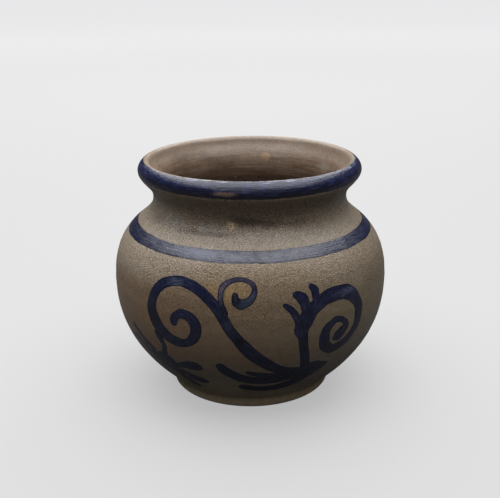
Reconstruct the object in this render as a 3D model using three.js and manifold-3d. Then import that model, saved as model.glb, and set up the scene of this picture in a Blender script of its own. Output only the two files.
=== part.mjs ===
// A wheel-thrown stoneware vase with brushed cobalt decoration: one fired clay body,
// a painted rim, a painted shoulder line, and a scroll ornament laid on in single
// brush strokes, once on the front and once on the back.
// Millimetres, +Z up. The pot stands on z = 0 and turns about the z axis. The front is -Y.

import * as THREE from 'three';
import { mergeVertices } from 'three/addons/utils/BufferGeometryUtils.js';
import Module from 'manifold-3d';

const wasm = await Module();
wasm.setup();

// Overall sizes
const HEIGHT = 130;
const BELLY_RADIUS = 76.2;
const BELLY_HEIGHT = 63.5;

// Foot: a low ring with a slight flare, hollowed underneath
const FOOT_RADIUS = 44.9;
const FOOT_HEIGHT = 4.6;
const FOOT_FLARE = 1.1;
const FOOT_EDGE = 0.8;
const FOOT_RING_WIDTH = 7;
const FOOT_RECESS_DEPTH = 3.5;
const FOOT_RECESS_SLOPE = 2;

// Neck, collar and rolled lip, measured down from the top
const NECK_RADIUS = 53.4;
const COLLAR_DEPTH = 20;
const LIP_RADIUS = 61.2;
const LIP_DEPTH = 5.8;
const CREST_RADIUS = 56.8;
const MOUTH_ROLL = 2.6;

// Thickness of the thrown clay
const WALL = 5.7;
const NECK_WALL = 5.4;
const FLOOR_THICKNESS = 4.5;
const FLOOR_RADIUS = 26;

// How far each curve of the outline pulls towards its ends, as shares of that curve
const BASE_SPREAD = 0.71;
const BASE_RISE = 0.31;
const BASE_FULLNESS = 0.38;
const SHOULDER_FULLNESS = 0.76;
const NECK_FULLNESS = 0.33;
const COLLAR_START = 0.48;
const COLLAR_END = 0.33;
const LIP_FULLNESS = 0.65;
const CREST_ROUNDNESS = 0.2;
const INNER_BASE_FULLNESS = 0.5;
const INNER_FLOOR_SPREAD = 0.5;
const INNER_SHOULDER_FULLNESS = 0.68;
const INNER_NECK_FULLNESS = 0.4;
const THROAT_FULLNESS = 0.55;
const MOUTH_FULLNESS = 0.3;

// Cobalt slip: its thickness, and the clearance under it and between two strokes
const SLIP_THICKNESS = 0.4;
const SLIP_GAP = 0.3;
const RIM_BAND_DEPTH = 8.2;
const SHOULDER_BAND_DROP = 13.6;
const SHOULDER_BAND_HEIGHT = 5;

// The mark that the brush leaves under an even hand
const BRUSH_WIDTH = 5;

// Fineness of the faceted solids
const TURNS = 64;
const CURVE_STEPS = 10;
const SHORT_CURVE_STEPS = 5;
const MOUTH_STEPS = 3;
const BAND_STEPS = 4;
const STEPS_PER_POINT = 2;

// Fineness of the wall that the slip is laid on, and the span over which its slope is read
const WALL_SAMPLES = 80;
const SLOPE_STEP = 0.05;

// The widest facet of a stroke that clears the round belly
const WIDEST_FACET = 10;

// How far on each side of a section of a stroke its direction is read, as a share of one step
const DIRECTION_REACH = 0.2;

// Vertices nearer to each other than this are one
const MERGE_DISTANCE = 1e-4;

// The clay of the lip stops short of the outside by the slip that covers it
const slipTop = SLIP_GAP + SLIP_THICKNESS;
const clayTop = HEIGHT - slipTop;
const clayLip = LIP_RADIUS - slipTop;
const lipHeight = HEIGHT - LIP_DEPTH;
const neckHeight = HEIGHT - COLLAR_DEPTH;
const footWaist = FOOT_RADIUS - FOOT_FLARE;
const bellyOut = BELLY_RADIUS - footWaist;
const bellyUp = BELLY_HEIGHT - FOOT_HEIGHT;
const shoulderUp = neckHeight - BELLY_HEIGHT;
const floorHeight = FOOT_RECESS_DEPTH + FLOOR_THICKNESS;
const innerBelly = BELLY_RADIUS - WALL;
const innerNeck = NECK_RADIUS - NECK_WALL;
const shoulderBandTop = neckHeight - SHOULDER_BAND_DROP;
const shoulderBandLow = shoulderBandTop - SHOULDER_BAND_HEIGHT;
const rimBandLow = HEIGHT - RIM_BAND_DEPTH;

const at = (radius, height) => new THREE.Vector2(radius, height);
const percent = (number) => number / 100;

// Outside of the wall, from the foot to the crest of the lip
const belly = new THREE.CubicBezierCurve(
  at(footWaist, FOOT_HEIGHT),
  at(footWaist + BASE_SPREAD * bellyOut, FOOT_HEIGHT + BASE_RISE * bellyUp),
  at(BELLY_RADIUS, BELLY_HEIGHT - BASE_FULLNESS * bellyUp),
  at(BELLY_RADIUS, BELLY_HEIGHT),
);
const shoulder = new THREE.CubicBezierCurve(
  at(BELLY_RADIUS, BELLY_HEIGHT),
  at(BELLY_RADIUS, BELLY_HEIGHT + SHOULDER_FULLNESS * shoulderUp),
  at(NECK_RADIUS, neckHeight - NECK_FULLNESS * shoulderUp),
  at(NECK_RADIUS, neckHeight),
);
const collar = new THREE.CubicBezierCurve(
  at(NECK_RADIUS, neckHeight),
  at(NECK_RADIUS, neckHeight + COLLAR_START * (lipHeight - neckHeight)),
  at(clayLip, lipHeight - COLLAR_END * (lipHeight - neckHeight)),
  at(clayLip, lipHeight),
);
const lip = new THREE.CubicBezierCurve(
  at(clayLip, lipHeight),
  at(clayLip, lipHeight + LIP_FULLNESS * (clayTop - lipHeight)),
  at(CREST_RADIUS + CREST_ROUNDNESS * (clayLip - CREST_RADIUS), clayTop),
  at(CREST_RADIUS, clayTop),
);

// Inside of the wall, from the crest of the lip to the floor
const mouthEdge = at(CREST_RADIUS - MOUTH_ROLL, clayTop - MOUTH_ROLL);
const throatDrop = mouthEdge.y - neckHeight;
const mouth = new THREE.CubicBezierCurve(
  at(CREST_RADIUS, clayTop),
  at(CREST_RADIUS - MOUTH_FULLNESS * MOUTH_ROLL, clayTop),
  at(mouthEdge.x + MOUTH_FULLNESS * MOUTH_ROLL, mouthEdge.y + MOUTH_FULLNESS * MOUTH_ROLL),
  mouthEdge,
);
const throat = new THREE.CubicBezierCurve(
  mouthEdge,
  at(mouthEdge.x - MOUTH_FULLNESS * (mouthEdge.x - innerNeck), mouthEdge.y - MOUTH_FULLNESS * throatDrop),
  at(innerNeck, neckHeight + THROAT_FULLNESS * throatDrop),
  at(innerNeck, neckHeight),
);
const innerShoulder = new THREE.CubicBezierCurve(
  at(innerNeck, neckHeight),
  at(innerNeck, neckHeight - INNER_NECK_FULLNESS * shoulderUp),
  at(innerBelly, BELLY_HEIGHT + INNER_SHOULDER_FULLNESS * shoulderUp),
  at(innerBelly, BELLY_HEIGHT),
);
const innerBase = new THREE.CubicBezierCurve(
  at(innerBelly, BELLY_HEIGHT),
  at(innerBelly, BELLY_HEIGHT - INNER_BASE_FULLNESS * (BELLY_HEIGHT - floorHeight)),
  at(FLOOR_RADIUS + INNER_FLOOR_SPREAD * (innerBelly - FLOOR_RADIUS), floorHeight),
  at(FLOOR_RADIUS, floorHeight),
);

// The same wall finely sampled, to lay the slip on it
const wallSamples = [belly, shoulder, collar, lip].flatMap((curve) => curve.getPoints(WALL_SAMPLES));

function wallRadius(height) {
  const above = wallSamples.findIndex((sample) => sample.y >= height);
  if (above === 0) return wallSamples[0].x;
  if (above < 0) return wallSamples.at(-1).x;
  const low = wallSamples[above - 1];
  const high = wallSamples[above];
  const share = (height - low.y) / (high.y - low.y);
  return low.x + share * (high.x - low.x);
}

// A point of the wall at an angle round the pot and a height, lifted off it along its normal
function onWall(angle, height, lift) {
  const slope = (wallRadius(height + SLOPE_STEP) - wallRadius(height - SLOPE_STEP)) / (2 * SLOPE_STEP);
  const stretch = Math.hypot(1, slope);
  const radius = wallRadius(height) + lift / stretch;
  return new THREE.Vector3(
    radius * Math.sin(angle),
    -radius * Math.cos(angle),
    height - (lift * slope) / stretch,
  );
}

// A closed geometry of positions only, its shared vertices merged
function closed(geometry) {
  geometry.deleteAttribute('normal');
  geometry.deleteAttribute('uv');
  return mergeVertices(geometry, MERGE_DISTANCE);
}

// A profile of radius and height turned round the z axis
function turned(profile) {
  const geometry = new THREE.LatheGeometry(profile, TURNS);
  geometry.rotateX(Math.PI / 2);
  return closed(geometry);
}

function clayBodyGeometry() {
  const footOuter = FOOT_RADIUS - FOOT_EDGE;
  const footInner = FOOT_RADIUS - FOOT_RING_WIDTH;
  const profile = [
    at(0, FOOT_RECESS_DEPTH),
    at(footInner - FOOT_RECESS_SLOPE, FOOT_RECESS_DEPTH),
    at(footInner, 0),
    at(footOuter, 0),
    at(FOOT_RADIUS, FOOT_EDGE),
    ...belly.getPoints(CURVE_STEPS),
    ...shoulder.getPoints(CURVE_STEPS).slice(1),
    ...collar.getPoints(SHORT_CURVE_STEPS).slice(1),
    ...lip.getPoints(SHORT_CURVE_STEPS).slice(1),
    ...mouth.getPoints(MOUTH_STEPS).slice(1),
    ...throat.getPoints(SHORT_CURVE_STEPS).slice(1),
    ...innerShoulder.getPoints(CURVE_STEPS).slice(1),
    ...innerBase.getPoints(CURVE_STEPS).slice(1),
    at(0, floorHeight),
  ];
  return turned(profile);
}

// A painted ring: the given stretch of wall, covered from one clearance above it
function ringGeometry(stretch) {
  const offset = (distance) => stretch.map((sample, i) => {
    const before = stretch[Math.max(i - 1, 0)];
    const after = stretch[Math.min(i + 1, stretch.length - 1)];
    const along = after.clone().sub(before).normalize();
    return at(sample.x + along.y * distance, sample.y - along.x * distance);
  });
  const outside = offset(slipTop);
  const inside = offset(SLIP_GAP).reverse();
  return turned([...outside, ...inside, outside[0]]);
}

// The slip over the lip starts on the collar or on the lip, wherever its lower edge comes
function rimBandGeometry() {
  const collarAndLip = [...collar.getPoints(CURVE_STEPS).slice(0, -1), ...lip.getPoints(SHORT_CURVE_STEPS)];
  const above = collarAndLip.filter((sample) => sample.y > rimBandLow + SLIP_GAP);
  return ringGeometry([at(wallRadius(rimBandLow), rimBandLow), ...above]);
}

function shoulderBandGeometry() {
  const stretch = Array.from({ length: BAND_STEPS + 1 }, (_, i) => {
    const height = shoulderBandLow + (i / BAND_STEPS) * SHOULDER_BAND_HEIGHT;
    return at(wallRadius(height), height);
  });
  return ringGeometry(stretch);
}

// The middle line of a stroke: x runs round the pot, y up it, and z holds the brush mark's width
function strokeSpine(points) {
  const places = points.map(([degrees, heightPercent, widthPercent]) => new THREE.Vector3(
    THREE.MathUtils.degToRad(degrees) * BELLY_RADIUS,
    percent(heightPercent) * shoulderBandLow,
    percent(widthPercent) * BRUSH_WIDTH,
  ));
  return new THREE.CatmullRomCurve3(places, false, 'centripetal');
}

// A point on the wall below or beside the given one, lifted off it along its normal
function lifted(point, lift) {
  return onWall(Math.atan2(point.x, -point.y), point.z, lift);
}

// The solid of one brush stroke, from one lift off the wall to another, grown all round by a margin
function strokeSolid(points, margin, lowLift, highLift) {
  const spine = strokeSpine(points);
  const steps = STEPS_PER_POINT * (points.length - 1);
  const widest = Math.max(...spine.points.map((point) => point.z));
  const facets = Math.ceil(widest / WIDEST_FACET);
  const placeAt = (share) => {
    const sample = spine.getPoint(THREE.MathUtils.clamp(share, 0, 1));
    return onWall(sample.x / BELLY_RADIUS, sample.y, 0);
  };
  const positions = [];
  for (let i = 0; i <= steps; i += 1) {
    const place = placeAt(i / steps);
    const after = placeAt((i + DIRECTION_REACH) / steps);
    const along = after.sub(placeAt((i - DIRECTION_REACH) / steps)).normalize();
    const outward = lifted(place, 1).sub(place);
    const halfWidth = spine.getPoint(i / steps).z / 2 + margin;
    const side = outward.cross(along).normalize().multiplyScalar(halfWidth);
    if (i === 0) place.addScaledVector(along, -margin);
    if (i === steps) place.addScaledVector(along, margin);
    const row = Array.from({ length: facets + 1 }, (_, k) => (
      place.clone().addScaledVector(side, 1 - (2 * k) / facets)
    ));
    const top = row.map((point) => lifted(point, highLift));
    const bottom = row.map((point) => lifted(point, lowLift)).reverse();
    positions.push(...[...top, ...bottom].flatMap((point) => point.toArray()));
  }
  const ring = 2 * (facets + 1);
  const last = ring * steps;
  const faces = [];
  for (let i = 0; i < last; i += ring) {
    for (let j = 0; j < ring; j += 1) {
      const a = i + j;
      const b = i + ((j + 1) % ring);
      faces.push(a, b, a + ring, b, b + ring, a + ring);
    }
  }
  for (let k = 0; k < facets; k += 1) {
    const below = ring - 1 - k;
    faces.push(k, below - 1, k + 1, k, below, below - 1);
    faces.push(last + k, last + k + 1, last + below - 1, last + k, last + below - 1, last + below);
  }
  return new wasm.Manifold(new wasm.Mesh({
    numProp: 3,
    vertProperties: new Float32Array(positions),
    triVerts: new Uint32Array(faces),
  }));
}

// The largest of the bodies that a cut leaves: what lies beyond an older stroke is under it
function mainPiece(solid) {
  return solid.decompose().reduce((most, body) => (body.volume() > most.volume() ? body : most));
}

function toGeometry(solid) {
  const mesh = solid.getMesh();
  const geometry = new THREE.BufferGeometry();
  geometry.setAttribute('position', new THREE.BufferAttribute(new Float32Array(mesh.vertProperties), 3));
  geometry.setIndex(new THREE.BufferAttribute(new Uint32Array(mesh.triVerts), 1));
  return geometry;
}

// The strokes of the ornament in the order they were laid on, each through points of
// [degrees from the middle of the front, height in percent of that of the shoulder line's lower edge,
// width of the mark in percent of the brush's]
const STROKES = {
  // A spiral from its inner tip, over the top and down to the right as a stem
  left_scroll: [
    [-30.3, 63.1, 54], [-30.6, 65.9, 90], [-29.7, 69.3, 88], [-26.7, 71.6, 104], [-22.8, 69.4, 124],
    [-21.1, 64.2, 130], [-22.1, 58.5, 114], [-25.5, 53.8, 96], [-29.7, 53.1, 124],
    [-34.3, 55.1, 140], [-38.3, 59.8, 158], [-40.6, 65.5, 158], [-41.4, 71.5, 136],
    [-40.5, 77.7, 116], [-37.7, 84.1, 112], [-33.4, 87.9, 106], [-27.9, 89.3, 106],
    [-22.3, 87.6, 112], [-17, 83.3, 118], [-12.9, 77.6, 116], [-10.3, 71.6, 116], [-7.8, 65, 114],
    [-4.8, 59, 124], [-1.9, 53.7, 142], [1.4, 48.5, 148], [5.8, 43.1, 142], [10.3, 38.7, 128],
    [14.8, 35.8, 126], [22.2, 33.4, 166], [25.4, 34.4, 200], [28.5, 35.5, 172], [31.8, 35.2, 108],
    [36.1, 35.5, 32],
  ],
  // A stem with a volute: up the trunk, over the top, round and in to the blob
  right_volute: [
    [24.1, 34.2, 98], [23.1, 39, 106], [22.4, 43.7, 106], [20.8, 52.9, 104], [20.2, 59, 114],
    [19.6, 62.2, 156], [19.7, 65.1, 170], [20.4, 67.5, 188], [23.5, 73.9, 158], [28.8, 78.7, 148],
    [32.2, 80.1, 156], [35.8, 80.3, 152], [40, 79.5, 162], [43.7, 76.1, 152], [46.3, 71, 134],
    [47.4, 66.2, 132], [46.9, 57, 120], [43.5, 50.4, 110], [41.1, 48, 116], [35.8, 45.9, 122],
    [32.8, 47.3, 122], [30.4, 51, 130], [30.2, 59.4, 118], [33.9, 64.5, 86], [36.8, 64.5, 72],
    [39.4, 62.1, 68], [39.9, 58.7, 110], [36.7, 54.1, 142], [35.2, 52.6, 108], [34.6, 51.5, 56],
  ],
  small_curl: [
    [-8.9, 72.9, 30], [-9.7, 75.1, 44], [-11.1, 80.5, 42], [-11.4, 85.8, 46], [-10, 89.9, 56],
    [-6.7, 92.5, 52], [-2.9, 92.9, 46], [0.6, 89.4, 52], [0.9, 83.1, 70], [-0.7, 81, 92],
    [-4, 80.4, 110], [-5.3, 81.7, 96], [-5.8, 83.9, 72], [-5.7, 86.5, 48],
  ],
  branch: [
    [-40.5, 57.7, 74], [-39.5, 54.5, 92], [-38, 48.1, 68], [-38.3, 44.8, 64], [-40.4, 37.1, 96],
  ],
  knot: [
    [-47.4, 38.9, 82], [-45.7, 36.9, 210], [-43.5, 35.2, 316], [-41.4, 33.1, 356],
    [-39.6, 30.9, 322], [-36.9, 26.7, 126],
  ],
  long_spray: [
    [-56.5, 54.8, 42], [-55.3, 51.4, 76], [-52.8, 48.1, 90], [-47.8, 41.9, 104], [-45.2, 39.6, 110],
  ],
  short_spray: [
    [-58.7, 46.4, 48], [-57.1, 43.3, 84], [-51.9, 38, 122], [-49.4, 35.1, 150], [-47.4, 31.6, 188],
  ],
  upper_leaf: [
    [-37.2, 33.9, 60], [-34, 34.5, 80], [-30.3, 35.9, 102], [-27, 36.8, 140], [-24.5, 36.9, 142],
    [-22.6, 36.2, 106], [-21.3, 35.2, 42],
  ],
  middle_leaf: [
    [-34.8, 31.2, 64], [-31, 28.1, 88], [-29.3, 26.5, 126], [-27, 25.2, 144], [-24.5, 24.7, 128],
    [-20.7, 24.3, 44],
  ],
  lower_leaf: [[-37.1, 29.5, 104], [-34.7, 22.6, 132], [-31, 17.4, 116], [-28.8, 16, 54]],
  keel_upper: [
    [-14, 42, 56], [-13.1, 40.5, 100], [-11, 37, 128], [-7.6, 33.4, 138], [-3.2, 30.3, 146],
    [1.3, 28.9, 148], [10.4, 29.2, 164], [19, 31.7, 150], [22.2, 32.3, 112],
  ],
  keel_barb: [
    [-2.4, 36.6, 26], [-1.1, 36, 60], [1.2, 34.9, 70], [8.3, 33, 82], [11.9, 32.6, 86],
    [15.5, 32.9, 88],
  ],
  keel_lower: [
    [-6.2, 23.3, 50], [-4.6, 22.7, 118], [2.5, 20.3, 124], [10.9, 20.1, 146], [18.8, 22.8, 160],
    [22.1, 25.6, 164], [25, 28, 168], [27.5, 29.8, 148], [30, 31.8, 138], [35, 34.9, 54],
  ],
  low_tuft: [
    [12, 79.3, 36], [13.1, 78.4, 52], [15.8, 74.9, 68], [18.1, 68.9, 88], [18.6, 65.9, 88],
  ],
  middle_tuft: [
    [15.9, 84.8, 52], [18.4, 83, 96], [19.8, 81.1, 120], [20.6, 78.4, 104], [20.9, 73, 86],
  ],
  high_tuft: [
    [23.2, 88.6, 42], [24.1, 86.7, 70], [25.2, 84.5, 86], [25.4, 79.3, 80], [25.2, 77.1, 68],
  ],
};

const CLAY = new THREE.MeshStandardMaterial({ color: 0x8a7866, roughness: 0.45, metalness: 0 });
const COBALT = new THREE.MeshStandardMaterial({ color: 0x1c2140, roughness: 0.3, metalness: 0 });

function piece(name, geometry, material) {
  const mesh = new THREE.Mesh(geometry, material);
  mesh.name = name;
  return mesh;
}

// One panel of the ornament. Each stroke is cut clear of those laid on before it.
function ornament(prefix, turn) {
  const panel = new THREE.Group();
  let laid = null;
  for (const [name, points] of Object.entries(STROKES)) {
    const whole = strokeSolid(points, 0, SLIP_GAP, slipTop);
    const solid = laid ? mainPiece(whole.subtract(laid)) : whole;
    const cutter = strokeSolid(points, SLIP_GAP, 0, slipTop + SLIP_GAP);
    laid = laid ? laid.add(cutter) : cutter;
    panel.add(piece(`${prefix}_${name}`, toGeometry(solid), COBALT));
  }
  panel.rotation.z = turn;
  return panel;
}

const vase = new THREE.Group();
vase.add(piece('clay_body', clayBodyGeometry(), CLAY));
vase.add(piece('rim_band', rimBandGeometry(), COBALT));
vase.add(piece('shoulder_band', shoulderBandGeometry(), COBALT));
vase.add(ornament('front', 0));
vase.add(ornament('back', Math.PI));

export default vase;
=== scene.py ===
# A wheel-thrown, salt-glazed stoneware vase with a painted rim, a painted shoulder line and a
# scroll ornament brushed on the front and on the back.
# Metres, +Z up. The pot stands on z = 0 and turns about the z axis. The front is -Y.

import math
from functools import partialmethod

import bpy
import numpy as np
from mathutils import Matrix, Vector


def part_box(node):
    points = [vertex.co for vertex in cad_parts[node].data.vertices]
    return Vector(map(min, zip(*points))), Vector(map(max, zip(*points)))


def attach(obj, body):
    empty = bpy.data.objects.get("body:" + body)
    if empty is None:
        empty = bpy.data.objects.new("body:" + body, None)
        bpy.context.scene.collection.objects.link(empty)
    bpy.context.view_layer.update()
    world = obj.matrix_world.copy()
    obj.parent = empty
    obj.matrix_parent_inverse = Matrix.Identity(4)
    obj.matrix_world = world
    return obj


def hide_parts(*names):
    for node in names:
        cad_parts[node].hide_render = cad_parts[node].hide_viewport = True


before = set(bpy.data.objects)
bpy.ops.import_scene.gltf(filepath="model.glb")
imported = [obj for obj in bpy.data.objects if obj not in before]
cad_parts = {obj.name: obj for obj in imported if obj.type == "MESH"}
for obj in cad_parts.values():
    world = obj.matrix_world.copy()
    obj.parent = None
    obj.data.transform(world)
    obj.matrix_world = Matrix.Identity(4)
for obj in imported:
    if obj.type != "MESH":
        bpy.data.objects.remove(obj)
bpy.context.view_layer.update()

MM = 0.001
FULL_TURN = 2 * math.pi


def mm(*sizes):
    """Sizes that are written in millimetres."""
    return tuple(size * MM for size in sizes)


# Overall sizes, from the frame
rim_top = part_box("rim_band")[1]
HEIGHT = rim_top.z
BELLY_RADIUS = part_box("clay_body")[1].x
LIP_RADIUS = rim_top.x

# The outline of the thrown wall
BELLY_HEIGHT = 63.5 * MM
NECK_RADIUS = 53.4 * MM
NECK_HEIGHT = HEIGHT - 20 * MM
LIP_HEIGHT = HEIGHT - 5.8 * MM
CREST_RADIUS = 56.8 * MM
MOUTH_ROLL = 2.6 * MM
WALL = 5.7 * MM
NECK_WALL = 5.4 * MM
FLOOR_HEIGHT = 8 * MM
FLOOR_RADIUS = 26 * MM

# The foot ring, how its outer edge is rounded as multiples of that edge, its leaning side, and how
# the hollow above it leaves the foot and meets the belly
FOOT_RADIUS = 44.9 * MM
FOOT_HEIGHT = 4.6 * MM
FOOT_FLARE = 1.1 * MM
FOOT_EDGE = 0.8 * MM
EDGE_UNDER = 1.5
EDGE_UP = 1.2
EDGE_CORNER = 0.3
FOOT_LEAN = 0.4 * MM
FOOT_SIDE_TOP = 2.6 * MM
FOOT_RING_WIDTH = 7 * MM
FOOT_RECESS_DEPTH = 3.5 * MM
FOOT_RECESS_SLOPE = 2 * MM
FOOT_RECESS_TURN = 0.3 * MM
HOLLOW_LEAVES = mm(-0.5, 1.8)
HOLLOW_MEETS = mm(-2, -1.6)

# How far each curve of the outline pulls towards its ends, as shares of that curve
BELLY_START = 0.055
BASE_SPREAD = 0.71
BASE_RISE = 0.31
BASE_FULLNESS = 0.38
SHOULDER_FULLNESS = 0.76
NECK_FULLNESS = 0.33
COLLAR_START = 0.48
COLLAR_END = 0.33
LIP_FULLNESS = 0.65
CREST_ROUNDNESS = 0.2
MOUTH_FLATNESS = 0.5
MOUTH_TURN = (0.12, 0.45)
MOUTH_FULLNESS = 0.3
THROAT_FULLNESS = 0.55
INNER_NECK_FULLNESS = 0.4
INNER_SHOULDER_FULLNESS = 0.68
INNER_BASE_FULLNESS = 0.5
INNER_FLOOR_SPREAD = 0.5

# Spacing of the body's mesh up the outside, down the inside, and in the small rounded edges
OUTSIDE_STEP = 1.05 * MM
INSIDE_STEP = 1.9 * MM
EDGE_STEP = 0.45 * MM
BODY_COLUMNS = 336
CURVE_SAMPLES = 60
MERGE_DISTANCE = 0.002 * MM
SHARP_EDGE = math.radians(40)

# The slip: how proud it stands, how far its solid goes into the glaze, its section's points, and
# its two rings
SLIP_THICKNESS = 0.07 * MM
SLIP_SINK = 0.15 * MM
SLIP_EDGE_POWER = 6.0
SECTION_POINTS = 41
SHOULDER_LINE_POINTS = 33
SHOULDER_LINE_LOW = 91.4 * MM
SHOULDER_LINE_HIGH = 96.4 * MM
RIM_PAINT_LOW = 121.8 * MM
RIM_PAINT_OVER = 0.5 * MM
RIM_PAINT_BACK = 59 * MM
RIM_PAINT_LEAN = 0.45 * MM
RING_COLUMNS = 900

# The brush, how much higher each stroke lies than the one before, and the height that the
# ornament's heights are shares of
BRUSH_WIDTH = 5 * MM
LAYER_STEP = 0.006 * MM
ROW_STEP = 0.45 * MM
ORNAMENT_TOP = SHOULDER_LINE_LOW

# The strokes of the ornament in the order they were laid on, each through points of
# (degrees round from the middle of the front, height as a percentage of the ornament's top,
# width as a percentage of the brush)
STROKES = {
    # A spiral from its inner tip, over the top and down to the right as a stem
    "left_scroll": [
        (-30.3, 63.1, 54), (-30.6, 65.9, 90), (-29.7, 69.3, 88), (-26.7, 71.6, 104),
        (-22.8, 69.4, 124), (-21.1, 64.2, 130), (-22.1, 58.5, 114), (-25.5, 53.8, 96),
        (-29.7, 53.1, 124), (-34.3, 55.1, 140), (-38.3, 59.8, 158), (-40.6, 65.5, 158),
        (-41.4, 71.5, 136), (-40.5, 77.7, 116), (-37.7, 84.1, 112), (-33.4, 87.9, 106),
        (-27.9, 89.3, 106), (-22.3, 87.6, 112), (-17, 83.3, 118), (-12.9, 77.6, 116),
        (-10.3, 71.6, 116), (-7.8, 65, 114), (-4.8, 59, 124), (-1.9, 53.7, 142), (1.4, 48.5, 148),
        (5.8, 43.1, 142), (10.3, 38.7, 128), (14.8, 35.8, 126), (22.2, 33.4, 166),
        (25.4, 34.4, 200), (28.5, 35.5, 172), (31.8, 35.2, 108), (36.1, 35.5, 32),
    ],
    # A stem with a volute: up the trunk, over the top, round and in to the blob
    "right_volute": [
        (24.1, 34.2, 98), (23.1, 39, 106), (22.4, 43.7, 106), (20.8, 52.9, 104), (20.2, 59, 114),
        (19.6, 62.2, 156), (19.7, 65.1, 170), (20.4, 67.5, 188), (23.5, 73.9, 158),
        (28.8, 78.7, 148), (32.2, 80.1, 156), (35.8, 80.3, 152), (40, 79.5, 162), (43.7, 76.1, 152),
        (46.3, 71, 134), (47.4, 66.2, 132), (46.9, 57, 120), (43.5, 50.4, 110), (41.1, 48, 116),
        (35.8, 45.9, 122), (32.8, 47.3, 122), (30.4, 51, 130), (30.2, 59.4, 118), (33.9, 64.5, 86),
        (36.8, 64.5, 72), (39.4, 62.1, 68), (39.9, 58.7, 110), (36.7, 54.1, 142), (35.2, 52.6, 108),
        (34.6, 51.5, 56),
    ],
    "small_curl": [
        (-8.9, 72.9, 44), (-9.7, 75.1, 62), (-11.1, 80.5, 60), (-11.3, 85.8, 58), (-10, 89.9, 60),
        (-6.7, 92.5, 60), (-2.9, 92.8, 56), (0.3, 91.2, 54), (1.5, 88.4, 56), (1.2, 85.4, 64),
        (0.1, 82.7, 76), (-1.7, 80.9, 92), (-3.8, 80.2, 108), (-5.3, 81.7, 96), (-5.8, 83.9, 72),
        (-5.7, 86.5, 48),
    ],
    "branch": [
        (-40.5, 57.7, 74), (-39.5, 54.5, 92), (-38, 48.1, 68), (-38.3, 44.8, 64), (-40.4, 37.1, 96),
    ],
    "knot": [
        (-47.4, 38.9, 82), (-45.7, 36.9, 210), (-43.5, 35.2, 316), (-41.4, 33.1, 356),
        (-39.6, 30.9, 322), (-36.9, 26.7, 126),
    ],
    "long_spray": [
        (-56.5, 54.8, 42), (-55.3, 51.4, 76), (-52.8, 48.1, 90), (-47.8, 41.9, 104),
        (-45.2, 39.6, 110),
    ],
    "short_spray": [
        (-58.7, 46.4, 48), (-57.1, 43.3, 84), (-51.9, 38, 122), (-49.4, 35.1, 150),
        (-47.4, 31.6, 188),
    ],
    "upper_leaf": [
        (-37.2, 33.9, 60), (-34, 34.5, 80), (-30.3, 35.9, 102), (-27, 36.8, 140),
        (-24.5, 36.9, 142), (-22.6, 36.2, 106), (-21.3, 35.2, 42),
    ],
    "middle_leaf": [
        (-34.8, 31.2, 64), (-31, 28.1, 88), (-29.3, 26.5, 126), (-27, 25.2, 144),
        (-24.5, 24.7, 128), (-20.7, 24.3, 44),
    ],
    "lower_leaf": [(-37.1, 29.5, 104), (-34.7, 22.6, 132), (-31, 17.4, 116), (-28.8, 16, 54)],
    "keel_upper": [
        (-14, 42, 56), (-13.1, 40.5, 100), (-11, 37, 128), (-7.6, 33.4, 138), (-3.2, 30.3, 146),
        (1.3, 28.9, 148), (10.4, 29.2, 164), (19, 31.7, 150), (22.2, 32.3, 112),
    ],
    "keel_barb": [
        (-2.4, 36.6, 26), (-1.1, 36, 60), (1.2, 34.9, 70), (8.3, 33, 82), (11.9, 32.6, 86),
        (15.5, 32.9, 88),
    ],
    "keel_lower": [
        (-6.2, 23.3, 50), (-4.6, 22.7, 118), (2.5, 20.3, 124), (10.9, 20.1, 146), (18.8, 22.8, 160),
        (22.1, 25.6, 164), (25, 28, 168), (27.5, 29.8, 148), (30, 31.8, 138), (35, 34.9, 54),
    ],
    "low_tuft": [
        (12, 79.3, 36), (13.1, 78.4, 52), (15.8, 74.9, 68), (18.1, 68.9, 88), (18.6, 65.9, 88),
    ],
    "middle_tuft": [
        (15.9, 84.8, 52), (18.4, 83, 96), (19.8, 81.1, 120), (20.6, 78.4, 104), (20.9, 73, 86),
    ],
    "high_tuft": [
        (23.2, 88.6, 42), (24.1, 86.7, 70), (25.2, 84.5, 86), (25.4, 79.3, 80), (25.2, 77.1, 68),
    ],
}
PANELS = {"front": 0, "back": math.pi}


# The wall's section, as stretches of (radius, height)

def bezier(points, step, start=0.0):
    """A cubic stretch from share start to its end, in rows about one step apart."""
    points = np.array(points)
    share = np.linspace(start, 1, CURVE_SAMPLES)[:, None]
    curve = (
        (1 - share) ** 3 * points[0]
        + 3 * (1 - share) ** 2 * share * points[1]
        + 3 * (1 - share) * share ** 2 * points[2]
        + share ** 3 * points[3]
    )
    return evenly(curve, step)


def run_along(curve):
    """How far along a polyline each of its points lies."""
    return np.concatenate([[0], np.cumsum(np.linalg.norm(np.diff(curve, axis=0), axis=1))])


def evenly(curve, step):
    """A polyline's points again, spread evenly along it, about one step apart."""
    curve = np.array(curve)
    run = run_along(curve)
    places = np.linspace(0, run[-1], max(2, round(run[-1] / step)) + 1)
    return np.stack([np.interp(places, run, curve[:, axis]) for axis in (0, 1)], axis=1)


def joined(stretches):
    """One polyline through several stretches that meet end to end."""
    return np.concatenate([stretches[0]] + [stretch[1:] for stretch in stretches[1:]])


foot_waist = (FOOT_RADIUS - FOOT_FLARE, FOOT_HEIGHT)
belly = (BELLY_RADIUS, BELLY_HEIGHT)
neck = (NECK_RADIUS, NECK_HEIGHT)
lip = (LIP_RADIUS, LIP_HEIGHT)
top = (CREST_RADIUS, HEIGHT)
mouth = (CREST_RADIUS - MOUTH_ROLL, HEIGHT - MOUTH_ROLL)
throat = (NECK_RADIUS - NECK_WALL, NECK_HEIGHT)
inner_belly = (BELLY_RADIUS - WALL, BELLY_HEIGHT)
floor_edge = (FLOOR_RADIUS, FLOOR_HEIGHT)


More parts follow.
